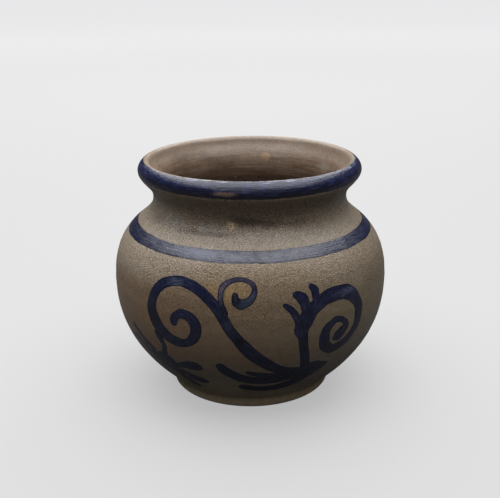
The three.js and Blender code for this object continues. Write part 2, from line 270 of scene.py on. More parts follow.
def bent(start, end, leaving, arriving):
    """A curve's four points. Its two handles lie shares of the way out and of the way up from
    their own end of it to the other."""
    def handle(own, other, out, up):
        return (own[0] + out * (other[0] - own[0]), own[1] + up * (other[1] - own[1]))

    return [start, handle(start, end, *leaving), handle(end, start, *arriving), end]


BELLY = bent(foot_waist, belly, (BASE_SPREAD, BASE_RISE), (0, BASE_FULLNESS))
SHOULDER = bent(belly, neck, (0, SHOULDER_FULLNESS), (0, NECK_FULLNESS))
COLLAR = bent(neck, lip, (0, COLLAR_START), (0, COLLAR_END))
LIP = bent(lip, top, (0, LIP_FULLNESS), (CREST_ROUNDNESS, 0))
MOUTH = bent(top, mouth, (MOUTH_FLATNESS, 0), MOUTH_TURN)
THROAT = bent(mouth, throat, (MOUTH_FULLNESS, MOUTH_FULLNESS), (0, THROAT_FULLNESS))
INNER_SHOULDER = bent(throat, inner_belly, (0, INNER_NECK_FULLNESS), (0, INNER_SHOULDER_FULLNESS))
INNER_BASE = bent(inner_belly, floor_edge, (0, INNER_BASE_FULLNESS), (INNER_FLOOR_SPREAD, 0))


def foot_stretches():
    """The underside, the ring that the pot stands on, and the soft hollow above it."""
    inner = FOOT_RADIUS - FOOT_RING_WIDTH
    recess = (inner - FOOT_RECESS_SLOPE, FOOT_RECESS_DEPTH)
    turn = inner - FOOT_RECESS_TURN
    stand_start = (inner + FOOT_EDGE, 0)
    stand_end = (FOOT_RADIUS - EDGE_UNDER * FOOT_EDGE, 0)
    side_low = (FOOT_RADIUS, EDGE_UP * FOOT_EDGE)
    side_high = (FOOT_RADIUS - FOOT_LEAN, FOOT_SIDE_TOP)
    waist = bezier(BELLY, EDGE_STEP, BELLY_START)[0]
    corner = EDGE_CORNER * FOOT_EDGE
    rounding = [stand_end, (FOOT_RADIUS - corner, 0), (FOOT_RADIUS, corner), side_low]
    hollow = [side_high, np.add(side_high, HOLLOW_LEAVES), np.add(waist, HOLLOW_MEETS), waist]
    return [
        evenly([(0, FOOT_RECESS_DEPTH), recess], INSIDE_STEP),
        bezier([recess, (turn, FOOT_RECESS_DEPTH), (turn, 0), stand_start], EDGE_STEP),
        evenly([stand_start, stand_end], OUTSIDE_STEP),
        bezier(rounding, EDGE_STEP),
        evenly([side_low, side_high], OUTSIDE_STEP),
        bezier(hollow, OUTSIDE_STEP),
    ]


outside = joined(foot_stretches() + [
    bezier(BELLY, OUTSIDE_STEP, BELLY_START),
    bezier(SHOULDER, OUTSIDE_STEP),
    bezier(COLLAR, OUTSIDE_STEP),
    bezier(LIP, EDGE_STEP),
])
inside = joined([
    bezier(MOUTH, EDGE_STEP),
    bezier(THROAT, INSIDE_STEP),
    bezier(INNER_SHOULDER, INSIDE_STEP),
    bezier(INNER_BASE, INSIDE_STEP),
    evenly([floor_edge, (0, FLOOR_HEIGHT)], INSIDE_STEP),
])
section = joined([outside, inside])
section_run = run_along(section)
crest = len(outside) - 1
crest_run = float(section_run[crest])


def round_from_front(degrees, rising, height):
    """The point of a rising outline at an angle round from the front and a height."""
    radius = np.interp(height, rising[:, 1], rising[:, 0])
    angle = math.radians(degrees)
    return Vector((radius * math.sin(angle), -radius * math.cos(angle), height))


def on_wall(degrees, height):
    """A point of the nominal outside wall."""
    return round_from_front(degrees, outside[outside[:, 1] > FOOT_HEIGHT], height)


def in_throat(degrees, height):
    """A point of the nominal inside wall above the belly."""
    return round_from_front(degrees, inside[inside[:, 1] > BELLY_HEIGHT][::-1], height)


def run_at_height(height):
    """How far along the section, from the middle of the underside, the outside reaches a height."""
    rising = (section[:, 0] > NECK_RADIUS - MM) & (section_run < crest_run)
    return float(np.interp(height, section[rising, 1], section_run[rising]))


def run_on_lip(radius):
    """How far along the section the lip, rolling in to its crest, has come to a radius."""
    rolling = slice(crest - len(bezier(LIP, EDGE_STEP)) + 2, crest + 1)
    return float(np.interp(-radius, -section[rolling, 0], section_run[rolling]))


# Node trees

class Graph:
    """Adds nodes to one tree. Each call links its inputs and returns the output asked for."""

    def __init__(self, tree):
        self.tree = tree
        self.place = None

    def add(self, kind, inputs=None, output=0, **settings):
        node = self.tree.nodes.new(kind)
        for name, value in settings.items():
            setattr(node, name, value)
        for key, value in (inputs or {}).items():
            if isinstance(value, bpy.types.NodeSocket):
                self.link(value, node.inputs[key])
            else:
                node.inputs[key].default_value = value
        return node.outputs[output]

    def link(self, output, socket):
        self.tree.links.new(output, socket)

    def maths(self, operation, *values, clamp=False):
        """One maths node for one or two values, and one more for each value after them."""
        pair = dict(enumerate(values[:2]))
        made = self.add("ShaderNodeMath", pair, operation=operation, use_clamp=clamp)
        return self.maths(operation, made, *values[2:]) if len(values) > 2 else made

    times = partialmethod(maths, "MULTIPLY")
    plus = partialmethod(maths, "ADD")
    minus = partialmethod(maths, "SUBTRACT")
    over = partialmethod(maths, "DIVIDE")
    most = partialmethod(maths, "MAXIMUM")
    absolute = partialmethod(maths, "ABSOLUTE")

    def vector(self, operation, *values):
        output = 1 if operation == "LENGTH" else 0
        return self.add("ShaderNodeVectorMath", dict(enumerate(values)), output, operation=operation)

    def scaled(self, vector, scale):
        return self.add("ShaderNodeVectorMath", {0: vector, "Scale": scale}, operation="SCALE")

    def combine(self, x=0.0, y=0.0, z=0.0):
        return self.add("ShaderNodeCombineXYZ", {"X": x, "Y": y, "Z": z})

    def separate(self, vector=None):
        """The x, y and z of a vector, or of the place that is shaped or coloured."""
        vector = self.place if vector is None else vector
        return list(self.add("ShaderNodeSeparateXYZ", {"Vector": vector}).node.outputs)

    def spread(self, value, low, high, to_low=0.0, to_high=1.0, kind="LINEAR"):
        """Value from low..high brought to to_low..to_high, and held there beyond."""
        return self.add("ShaderNodeMapRange", {
            "Value": value, "From Min": low, "From Max": high, "To Min": to_low, "To Max": to_high,
        }, interpolation_type=kind)

    def ease(self, *values):
        """The same with soft ends."""
        return self.spread(*values, kind="SMOOTHSTEP")

    def noise(self, size, detail=2.0, roughness=0.5, distortion=0.0, at=None, output=0):
        scale = self.over(1.0, size) if isinstance(size, bpy.types.NodeSocket) else 1 / size
        return self.add("ShaderNodeTexNoise", {
            "Vector": self.place if at is None else at, "Scale": scale, "Detail": detail,
            "Roughness": roughness, "Distortion": distortion,
        }, output)

    def swing(self, noise, amount):
        """A noise round 0.5 brought to half an amount either way."""
        return self.times(self.minus(noise, 0.5), amount)

    def attribute(self, name):
        """A number stored on the mesh, for a material."""
        return self.add("ShaderNodeAttribute", output="Fac", attribute_name=name)

    def mix(self, share, first, second, blend="MIX"):
        """A colour between two others."""
        colours = {0: share, 6: first, 7: second}
        return self.add("ShaderNodeMix", colours, 2, data_type="RGBA", blend_type=blend)

    def tinted(self, colour, share, by):
        """A colour multiplied by another, in part."""
        return self.mix(share, colour, by, "MULTIPLY")

    def layered(self, base, *layers):
        """A colour with others laid over it in turn, each by its share."""
        for share, colour in layers:
            base = self.mix(share, base, colour)
        return base


# The inputs of the geometry trees that aren't lengths
INPUT_KINDS = {
    "Section": "Object", "Path": "Object", "Wall": "Object", "Columns": "Int",
    "Section points": "Int", "Material": "Material",
}


def geometry_tree(name, *labels):
    """A new geometry tree with named inputs, and the outputs of its input node by name."""
    tree = bpy.data.node_groups.new(name, "GeometryNodeTree")
    tree.interface.new_socket("Geometry", in_out="OUTPUT", socket_type="NodeSocketGeometry")
    for label in labels:
        kind = "NodeSocket" + INPUT_KINDS.get(label, "Float")
        tree.interface.new_socket(label, in_out="INPUT", socket_type=kind)
    graph = Graph(tree)
    return graph, graph.add("NodeGroupInput").node.outputs


def merged(graph, mesh):
    return graph.add("GeometryNodeMergeByDistance", {"Geometry": mesh, "Distance": MERGE_DISTANCE})


def finish_tree(graph, mesh, given):
    """Ends a geometry tree: closes the mesh's seams, makes it real and gives it its material."""
    smooth = graph.add("GeometryNodeSetShadeSmooth", {"Geometry": merged(graph, mesh)})
    real = graph.add("GeometryNodeRealizeInstances", {"Geometry": smooth})
    made = graph.add("GeometryNodeSetMaterial", {"Geometry": real, "Material": given["Material"]})
    graph.link(made, graph.tree.nodes.new("NodeGroupOutput").inputs[0])
    return graph.tree


def shape_of(graph, piece):
    return graph.add("GeometryNodeObjectInfo", {"Object": piece}, "Geometry")


def point_count(graph, curve):
    return graph.add("GeometryNodeAttributeDomainSize", {0: curve}, "Point Count", component="CURVE")


def moved(graph, mesh, **how):
    return graph.add("GeometryNodeSetPosition", {"Geometry": mesh, **how})


def grid_place(graph, rows, columns):
    """A flat grid, and the row and column of each of its points."""
    grid = graph.add("GeometryNodeMeshGrid", {"Vertices X": rows, "Vertices Y": columns})
    index = graph.add("GeometryNodeInputIndex")
    row = graph.maths("FLOOR", graph.over(graph.plus(index, 0.5), columns))
    column = graph.minus(index, graph.times(row, columns))
    return grid, row, column


def turned(graph, radius, height, angle):
    """A point at a radius and a height, turned round the axis from the front."""
    x = graph.times(radius, graph.maths("SINE", angle))
    y = graph.times(radius, graph.maths("COSINE", angle), -1.0)
    return graph.combine(x, y, height)


def on_surface(graph, surface, place):
    """The point of a surface nearest to a place, and the surface's normal there."""
    return [graph.add("GeometryNodeSampleNearestSurface", {
        "Mesh": surface, "Value": graph.add(kind), "Sample Position": place,
    }, data_type="FLOAT_VECTOR") for kind in ("GeometryNodeInputPosition", "GeometryNodeInputNormal")]


def marked(graph, mesh, **marks):
    """Stores numbers on the mesh's points, for its material to read."""
    for name, value in marks.items():
        mesh = graph.add("GeometryNodeStoreNamedAttribute", {
            "Geometry": mesh, "Name": name, "Value": value,
        }, data_type="FLOAT", domain="POINT")
    return mesh


# How far apart the throwing rings change their pitch, and by how many pitches they wander
RING_DRIFT_SIZE = 30 * MM
RING_DRIFT = 1.5


def turned_wall_tree():
    """The thrown pot: the section turned round the axis, uneven as a hand leaves it."""
    graph, given = geometry_tree(
        "turned_wall", "Section", "Columns", "Wobble", "Wobble size", "Throwing ring depth",
        "Throwing ring pitch", "Lump height", "Lump size", "Flat foot", "Crest", "Material",
    )
    curve = shape_of(graph, given["Section"])
    columns = graph.plus(given["Columns"], 1.0)
    grid, row, column = grid_place(graph, point_count(graph, curve), columns)

    def at_row(value, kind):
        return graph.add("GeometryNodeSampleIndex", {
            0: curve, "Value": value, "Index": row,
        }, data_type=kind, domain="POINT")

    graph.place = graph.add("GeometryNodeInputPosition")
    radius, _, height = graph.separate(at_row(graph.place, "FLOAT_VECTOR"))
    angle = graph.times(graph.over(column, given["Columns"]), -FULL_TURN)
    shell = moved(graph, grid, Position=turned(graph, radius, height, angle))
    run = at_row(graph.add("GeometryNodeSplineParameter", output="Length"), "FLOAT")
    shell = marked(graph, shell, past_crest=graph.most(graph.minus(run, given["Crest"]), 0.0))

    wobble = graph.noise(given["Wobble size"], detail=1.0, output=1)
    bend = graph.scaled(graph.vector("SUBTRACT", wobble, (0.5, 0.5, 0.5)), given["Wobble"])
    height = graph.separate()[2]
    drift = graph.times(graph.noise(RING_DRIFT_SIZE, detail=1.0), RING_DRIFT)
    level = graph.over(height, given["Throwing ring pitch"])
    rings = graph.add("ShaderNodeTexNoise", {
        "W": graph.plus(level, drift), "Scale": 1.0,
    }, noise_dimensions="1D")
    lumps = graph.noise(given["Lump size"], detail=1.0)
    lift = graph.plus(
        graph.swing(rings, given["Throwing ring depth"]), graph.swing(lumps, given["Lump height"]),
    )
    offset = graph.vector("ADD", bend, graph.scaled(graph.add("GeometryNodeInputNormal"), lift))
    steady = graph.spread(height, 0.0, given["Flat foot"])
    uneven = moved(graph, merged(graph, shell), Offset=graph.scaled(offset, steady))
    return finish_tree(graph, uneven, given)


# What every tree for a mark of slip is given
SLIP_INPUTS = (
    "Wall", "Section points", "Edge wander", "Wander size", "Edge fray", "Fray size", "Thickness",
    "Sink", "Layer lift", "Material",
)


def folded_grid(graph, rows, columns):
    """A grid with the row of each point, and its columns folded into a closed section: a share
    across from -1 to 1 and back, and whether a point is on the underside."""
    grid, row, column = grid_place(graph, rows, columns)
    share = graph.over(column, graph.minus(columns, 1.0))
    fold = graph.absolute(graph.minus(graph.times(share, 2.0), 1.0))
    across = graph.minus(1.0, graph.times(fold, 2.0))
    return grid, row, across, graph.maths("GREATER_THAN", share, 0.5)


def uneven_edge(graph, place, edge, given):
    """An edge of the slip with the slow wander of the hand and the fray of the bristles."""
    slow = graph.swing(graph.noise(given["Wander size"], detail=1.0, at=place), given["Edge wander"])
    fast = graph.swing(graph.noise(given["Fray size"], at=place), given["Edge fray"])
    return graph.plus(edge, graph.plus(slow, fast))


def inset_from_edge(graph, across, half_width):
    return graph.times(graph.minus(1.0, graph.absolute(across)), half_width)


def slip_solid(graph, given, wall, place, folded, fullness, **marks):
    """Ends a tree of slip: sets its folded grid on the wall as one closed body, and marks it."""
    grid, _, across, underside = folded
    base, outward = on_surface(graph, wall, place)
    edge = graph.maths("POWER", graph.absolute(across), SLIP_EDGE_POWER)
    lens = graph.maths("SQRT", graph.most(graph.minus(1.0, edge), 0.0))
    top = graph.plus(graph.times(lens, given["Thickness"]), given["Layer lift"])
    sunk = graph.times(lens, graph.times(given["Sink"], -1.0))
    sides = {"Switch": underside, "False": top, "True": sunk}
    height = graph.add("GeometryNodeSwitch", sides, input_type="FLOAT")
    lift = graph.scaled(outward, graph.times(height, fullness))
    laid = moved(graph, grid, Position=graph.vector("ADD", base, lift))
    return finish_tree(graph, marked(graph, laid, **marks), given)


def painted_ring_tree():
    """Slip laid round the pot on the wheel, between two places along the wall's section."""
    graph, given = geometry_tree(
        "painted_ring", "Section", "Lower edge", "Upper edge in front", "Upper edge behind",
        "Upper edge lean", "Columns", *SLIP_INPUTS,
    )
    wall = shape_of(graph, given["Wall"])
    folded = folded_grid(graph, graph.plus(given["Columns"], 1.0), given["Section points"])
    _, row, across, _ = folded
    angle = graph.times(graph.over(row, given["Columns"]), FULL_TURN)
    circle = turned(graph, BELLY_RADIUS, 0.0, angle)
    lower = uneven_edge(graph, circle, given["Lower edge"], given)
    forward = graph.spread(graph.maths("COSINE", angle), -1.0, 1.0)
    drawn = graph.spread(forward, 0.0, 1.0, given["Upper edge behind"], given["Upper edge in front"])
    lean = graph.times(graph.maths("SINE", angle), given["Upper edge lean"])
    elsewhere = graph.vector("ADD", circle, (0, 0, 1))
    upper = uneven_edge(graph, elsewhere, graph.plus(drawn, lean), given)
    length = graph.spread(across, -1.0, 1.0, lower, upper)
    sample = graph.add("GeometryNodeSampleCurve", {
        "Curves": shape_of(graph, given["Section"]), "Length": length,
    }, "Position", mode="LENGTH")
    radius, _, height = graph.separate(sample)
    place = turned(graph, radius, height, angle)
    half_width = graph.times(graph.minus(upper, lower), 0.5)
    inset = inset_from_edge(graph, across, half_width)
    sideways = graph.times(across, half_width)
    return slip_solid(graph, given, wall, place, folded, 1.0, inset=inset, across=sideways)


def brush_stroke_tree():
    """One mark of a loaded brush: as wide along its path as the brush was pressed, with round or
    pointed ends and slightly frayed edges, laid on the wall."""
    graph, given = geometry_tree("brush_stroke", "Path", "Row step", *SLIP_INPUTS)
    wall = shape_of(graph, given["Wall"])
    drawn = graph.add("GeometryNodeCurveSplineType", {
        "Curve": shape_of(graph, given["Path"]),
    }, spline_type="CATMULL_ROM")
    spine = graph.add("GeometryNodeResampleCurve", {
        "Curve": drawn, "Length": given["Row step"],
    }, mode="LENGTH")
    rows = point_count(graph, spine)
    folded = folded_grid(graph, rows, given["Section points"])
    _, row, across, _ = folded
    share = graph.over(row, graph.minus(rows, 1.0))
    sample = graph.add("GeometryNodeSampleCurve", {
        "Curves": spine, "Value": graph.add("GeometryNodeInputRadius"), "Factor": share,
    }, mode="FACTOR", data_type="FLOAT").node.outputs
    half_width = sample["Value"]
    middle, outward = on_surface(graph, wall, sample["Position"])
    side = graph.vector("NORMALIZE", graph.vector("CROSS_PRODUCT", outward, sample["Tangent"]))
    whole = graph.add("GeometryNodeCurveLength", {0: spine})
    along = graph.times(share, whole)
    to_end = graph.maths("MINIMUM", along, graph.minus(whole, along))
    tip_gap = graph.minus(1.0, graph.maths("DIVIDE", to_end, half_width, clamp=True))
    rounding = graph.maths("SQRT", graph.minus(1.0, graph.times(tip_gap, tip_gap)))
    edge_side = graph.times(graph.maths("SIGN", across), half_width)
    edge_place = graph.vector("ADD", middle, graph.scaled(side, edge_side))
    reach = graph.times(uneven_edge(graph, edge_place, half_width, given), rounding)
    sideways = graph.times(across, reach)
    place = graph.vector("ADD", middle, graph.scaled(side, sideways))
    marks = {"across": sideways, "along": along, "share": share}
    marks["inset"] = graph.maths("MINIMUM", inset_from_edge(graph, across, reach), to_end)
    return slip_solid(graph, given, wall, place, folded, rounding, **marks)


def placed(name, data):
    """A new object in the scene."""
    made = bpy.data.objects.new(name, data)
    bpy.context.scene.collection.objects.link(made)
    return made


def poly_curve(name, points, radii=None):
    """A curve object of straight pieces, which only the trees read."""
    curve = bpy.data.curves.new(name, "CURVE")
    curve.dimensions = "3D"
    spline = curve.splines.new("POLY")
    spline.points.add(len(points) - 1)
    for i, point in enumerate(points):
        spline.points[i].co = (*point, 1)
        spline.points[i].radius = radii[i] if radii else 1
    return placed(name, curve)


def grown(tree, name, inputs):
    """Runs a geometry tree on an empty carrier and returns the plain mesh object that it makes."""
    carrier = placed(name + "_carrier", bpy.data.meshes.new(name))
    modifier = carrier.modifiers.new("grow", "NODES")
    modifier.node_group = tree
    for item in tree.interface.items_tree:
        if item.in_out == "INPUT" and item.name in inputs:
            modifier[item.identifier] = inputs[item.name]
    depsgraph = bpy.context.evaluated_depsgraph_get()
    evaluated = carrier.evaluated_get(depsgraph)
    mesh = bpy.data.meshes.new_from_object(
        evaluated, preserve_all_data_layers=True, depsgraph=depsgraph,
    )
    bpy.data.objects.remove(carrier)
    mesh.name = name
    return placed(name, mesh)


# Finishes

def srgb(red, green, blue):
    """A colour as a picture shows it, 0 to 255, as linear red, green, blue and alpha."""
    shares = [colour / 255 for colour in (red, green, blue)]
    return (*(((c + 0.055) / 1.055) ** 2.4 if c > 0.04 else c / 12.92 for c in shares), 1.0)


CLAY_WARM = srgb(141, 126, 109)
CLAY_BUFF = srgb(142, 124, 99)
CLAY_RED = srgb(141, 114, 92)
# Olive clay, darker as well, for painted shade on the right side
CLAY_OLIVE_AND_SHADE = srgb(126, 116, 98)
# The paler grey of the painted sheen on the shoulders and upper sides
CLAY_SHEEN_GREY = srgb(164, 152, 136)
CLAY_LOW = srgb(134, 122, 106)
LINING_PALE = srgb(141, 125, 111)
LINING_BROWN = srgb(122, 103, 87)
# Painted shade deep inside the mouth
LINING_SHADE_DEEP = srgb(84, 69, 58)
# The foot's paler clay, lightened further with painted light
FOOT_PALE_AND_LIT = srgb(216, 196, 164)
# Painted highlight on the clay just under the rim's slip
LIT_LINE_PALE = srgb(196, 168, 146)
OCHRE = srgb(164, 138, 96)
IRON_BROWN = srgb(78, 62, 50)
STRAW_PALE = srgb(212, 190, 152)
SHEEN_AND_ASH_GREY = srgb(156, 150, 142)
SOOT_GREY = srgb(88, 80, 74)
STRAW = srgb(172, 144, 98)
# The white of the painted glints on the glaze
GLINT_WHITE = srgb(190, 176, 158)
# Painted shade on the neck under the overhanging lip
UNDER_LIP_SHADE_TINT = srgb(196, 190, 184)
COMBED_TINT = srgb(205, 195, 186)
MOTTLE_TINT = srgb(212, 204, 196)
# Painted shade in the hollows of the pebbling
PIT_SHADE_TINT = srgb(186, 174, 164)

COBALT = srgb(28, 32, 59)
COBALT_DEEP = srgb(16, 18, 32)
COBALT_PALE = srgb(66, 71, 102)
COBALT_BRIGHT = srgb(50, 58, 108)
COBALT_SLATE_AND_SHEEN = srgb(98, 104, 126)
# The slate of the painted sheen on the shoulder line
BAND_SHEEN_SLATE = srgb(100, 102, 114)
VIOLET_GREY = srgb(108, 98, 116)
VIOLET_NAVY = srgb(44, 38, 66)
CURL_SLATE = srgb(70, 78, 98)
CURL_BLACK = srgb(22, 24, 26)
# Black of pooled slip, and of painted shade on the strokes' outer sides
POOL_AND_SHADE_BLACK = srgb(14, 14, 22)
# Painted shade on the lower part of the lip
RIM_SHADE_BLACK = srgb(24, 24, 34)
RUBBED_CLAY = srgb(126, 104, 94)
SCUFF_AND_GLINT_WHITE = srgb(176, 178, 188)

# The tones of the clay and the light and shade painted on it, each from where it starts to show to
# where it is full or gone: up the pot
BUFF_STARTS = mm(25, 45)
BUFF_ENDS = mm(98, 84)
FLUSH_ENDS = mm(82, 66)
# Painted sheen: paler grey clay up the sides and round the shoulder
SHEEN_STARTS = mm(74, 86)
SHEEN_ENDS = mm(116, 108)
CROWN_SHEEN_STARTS = mm(88, 97)
CROWN_SHEEN_ENDS = mm(111, 102)
LOW_TONE_ENDS = mm(46, 20)
COLLAR_STARTS = mm(110, 117)
COLLAR_ENDS = mm(122, 120)
LIT_LINE_STARTS = mm(120, 121)
LIT_LINE_ENDS = mm(125, 124)
FOOT_TONE_ENDS = mm(24, 8)
FOOT_LIT_EDGE_ENDS = mm(8, 4)
PEBBLING_STARTS = mm(46, 86)
RIM_SHADE_ENDS = mm(127.5, 125)
SCUFF_GLINTS_START = mm(129, 129.6)

# The same from the middle of the pot to its right, or to both sides
FLUSH_LEFT = mm(25, -30)
OLIVE_AND_SHADE_RIGHT = mm(10, 76)
SHEEN_ASIDE = mm(16, 48)
UNDER_LIP_SHADE_ASIDE = mm(22, 48)
BAND_SHEEN_ASIDE = mm(62, 48)

# Along the wall from the crest of the lip, down the inside
OUTSIDE_ENDS = mm(0.2, 0)
LINING_STARTS = mm(0.5, 3)
LINING_BROWNS = mm(8, 12)
LINING_SHADE_DEEPENS = mm(14, 36)
COMBING_SHOWS = mm(8, 16)
COMBING_RISES = mm(6, 14)

# In from the edge of a mark of slip
POOLED_EDGE = mm(0.15, 0.9)
CURL_OUTLINE = mm(0.3, 0.75)

# Blotches on each side of the wall, a few of them painted sheen and glints: degrees round from the
# front, height, reach in x, y and z, colour, strength and the grain of the edge, in millimetres
BLOTCHES = {
    on_wall: [
        (-3.9, 80.2, (8, 12, 8), OCHRE, 0.6, 1.6),
        (-7.5, 78, (3.4, 8, 6), STRAW, 0.9, 1.4),
        (-14.4, 80, (6, 10, 6), STRAW, 0.4, 1.4),
        (-10, 72, (7, 12, 9), OCHRE, 0.4, 1.8),
        (-45, 58, (14, 14, 12), OCHRE, 0.25, 3),
        (-3.7, 108.5, (13, 9, 3.4), IRON_BROWN, 0.8, 2.4),
        (9, 107.4, (13, 9, 3), IRON_BROWN, 0.7, 2.6),
        (26, 106, (10, 9, 2.4), IRON_BROWN, 0.4, 3),
        (-34, 102, (12, 10, 2.6), IRON_BROWN, 0.4, 3),
        # A painted sheen on the left shoulder
        (-48, 104.5, (17, 15, 5.5), SHEEN_AND_ASH_GREY, 0.85, 4),
        (-62, 103, (8, 12, 4), SOOT_GREY, 0.3, 4),
        (-22, 102, (24, 12, 1.8), IRON_BROWN, 0.7, 2.4),
        # These two are painted glints on the shoulder
        (-24.3, 104.4, (5, 7, 2.2), SHEEN_AND_ASH_GREY, 0.9, 2),
        (-15.3, 104.2, (4, 7, 2), SHEEN_AND_ASH_GREY, 0.85, 2),
        (-10.1, 106.4, (4, 5, 3.2), STRAW_PALE, 0.95, 2),
    ],
    in_throat: [
        (169, 119, (4.5, 6, 3.6), STRAW, 0.45, 2),
        (-117, 116, (1, 2, 1.6), IRON_BROWN, 0.9, 1),
        (-128, 122, (14, 14, 4), SOOT_GREY, 0.45, 3),
        (-150, 119, (12, 12, 3), SOOT_GREY, 0.35, 3),
        (120, 118, (8, 9, 4), SHEEN_AND_ASH_GREY, 0.4, 4),
    ],
}

# Specks in the glaze, brown iron specks and white painted glints: how far apart they lie, their reach
# as a share of that, and their colour
SPECKS = [(4.5 * MM, 0.1, IRON_BROWN), (11 * MM, 0.045, GLINT_WHITE)]

# Where the front's strokes ran dry or pooled, and painted highlights on their tops and painted shade
# on their outer sides: degrees round, height, reach, colour, strength
LOADS_AND_PAINTED_LIGHT = [
    # Painted highlights on the tops of the left scroll and of the volute
    (-30, 81, (9, 9, 3), COBALT_SLATE_AND_SHEEN, 0.5),
    (39, 73, (11, 9, 2.8), COBALT_SLATE_AND_SHEEN, 0.6),
    (-8, 62, (5, 9, 4), COBALT_SLATE_AND_SHEEN, 0.2),
    (-4.5, 53, (6, 9, 5), POOL_AND_SHADE_BLACK, 0.85),
    # Painted shade on the outer sides of the left scroll and of the volute
    (-41, 60, (6, 9, 14), POOL_AND_SHADE_BLACK, 0.6),
    (46, 60, (7, 9, 11), POOL_AND_SHADE_BLACK, 0.6),
    (22, 50, (4, 9, 10), POOL_AND_SHADE_BLACK, 0.4),
    (20, 28, (14, 14, 6), POOL_AND_SHADE_BLACK, 0.5),
]
LOAD_GRAIN = 2.4

# Sizes of the glaze's pebbles, of the bends that break up their rows, and of the grit between
PEBBLE_SIZE = 0.8 * MM
PEBBLE_BEND_SIZE = 2.5 * MM
PEBBLE_BEND = 0.8 * MM
GRIT_SIZE = 0.9 * MM

# Depth of the relief that the bump stands for, on the clay and on the slip, and their gloss, from
# the wettest to the driest place
CLAY_RELIEF = 0.25 * MM
SLIP_RELIEF = 0.14 * MM
CLAY_GLOSS = (0.26, 0.42)
SLIP_GLOSS = (0.11, 0.28)
RIM_GLOSS = (0.06, 0.2)


def new_material(name):
    material = bpy.data.materials.new(name)
    material.use_nodes = True
    graph = Graph(material.node_tree)
    graph.place = graph.add("ShaderNodeTexCoord", output="Object")
    return material, graph, material.node_tree.nodes["Principled BSDF"]


def orange_peel(graph):
    """Height of the fine pebbling that salt glaze draws up into, from 0 to 1."""
    bend = graph.scaled(graph.noise(PEBBLE_BEND_SIZE, output=1), PEBBLE_BEND)
    cells = graph.add("ShaderNodeTexVoronoi", {
        "Vector": graph.vector("ADD", graph.place, bend), "Scale": 1 / PEBBLE_SIZE, "Smoothness": 0.4,
    }, feature="SMOOTH_F1")
    dome = graph.ease(cells, 0, 0.7, 1, 0)
    grit = graph.noise(GRIT_SIZE, detail=3, roughness=0.65)
    return graph.plus(graph.times(dome, 0.4), graph.times(grit, 0.8))


def pebbling(graph):
    """How strongly the glaze has pebbled: fully on the shoulder, hardly at all towards the foot."""
    wander = graph.swing(graph.noise(20 * MM), 30 * MM)
    return graph.ease(graph.plus(graph.separate()[2], wander), *PEBBLING_STARTS, 0.16, 1)


def glazed(graph, shader, base, gloss_size, gloss, relief, depth):
    """Gives the shader its colour, an uneven gloss and its relief."""
    wetness = graph.noise(gloss_size, detail=3)
    bump = graph.add("ShaderNodeBump", {"Height": relief, "Distance": depth})
    graph.link(base, shader.inputs["Base Color"])
    graph.link(graph.spread(wetness, 0.3, 0.7, *gloss), shader.inputs["Roughness"])
    graph.link(bump, shader.inputs["Normal"])


def patch(graph, centre, reach, grain, softness=0.8, raggedness=0.9):
    """How much a place lies in a blotch round a centre, from 0 to 1, with an uneven edge. The reach
    and the grain are in millimetres."""
    offset = graph.vector("SUBTRACT", graph.place, tuple(centre))
    shrunk = graph.vector("DIVIDE", offset, mm(*reach))
    ragged = graph.swing(graph.noise(grain * MM, 3), raggedness)
    distance = graph.plus(graph.vector("LENGTH", shrunk), ragged)
    return graph.ease(distance, 1.0 - softness, 1, 1, 0)


def clay_tones(graph, x, z, level, clouds):
    """Buff belly, red flush on the left, a painted sheen of paler grey round the shoulders and up the
    sides, olive with some painted shade on the right, dull near the foot.
    """
    belly = graph.times(graph.ease(level, *BUFF_STARTS), graph.ease(level, *BUFF_ENDS), 0.8)
    flush = graph.times(
        graph.spread(x, *FLUSH_LEFT), graph.spread(level, *FLUSH_ENDS),
        graph.spread(clouds, 0.35, 0.6, 0.3, 0.85),
    )
    # Painted sheen: paler grey clay on the upper sides and round the shoulder stands for the glaze's
    # reflection of the lamp
    sheen_aside = graph.times(
        graph.ease(graph.absolute(x), *SHEEN_ASIDE), graph.ease(level, *SHEEN_STARTS),
        graph.ease(z, *SHEEN_ENDS), 0.85,
    )
    sheen_crown = graph.times(graph.ease(level, *CROWN_SHEEN_STARTS), graph.ease(z, *CROWN_SHEEN_ENDS, 0, 0.6))
    return graph.layered(
        CLAY_WARM, (belly, CLAY_BUFF), (flush, CLAY_RED), (graph.most(sheen_aside, sheen_crown), CLAY_SHEEN_GREY),
        # Darker olive towards the right: partly the clay's own tone, partly painted shade on that
        # side
        (graph.spread(x, *OLIVE_AND_SHADE_RIGHT, 0, 0.6), CLAY_OLIVE_AND_SHADE),
        (graph.ease(level, *LOW_TONE_ENDS, 0, 0.85), CLAY_LOW),
    )


def lining_tones(graph, depth, streaks):
    """Pale, then brown down the inside, then darker with painted shade deeper in, combed by the
    potter's fingers.
    """
    lining = graph.layered(
        LINING_PALE, (graph.ease(depth, *LINING_BROWNS), LINING_BROWN),
        # Painted shade: darker further down inside the mouth
        (graph.spread(depth, *LINING_SHADE_DEEPENS), LINING_SHADE_DEEP),
    )
    combed = graph.spread(depth, *COMBING_SHOWS, 0.1, 0.8)
    return graph.tinted(lining, graph.times(graph.spread(streaks, 0.4, 0.6), combed), COMBED_TINT)


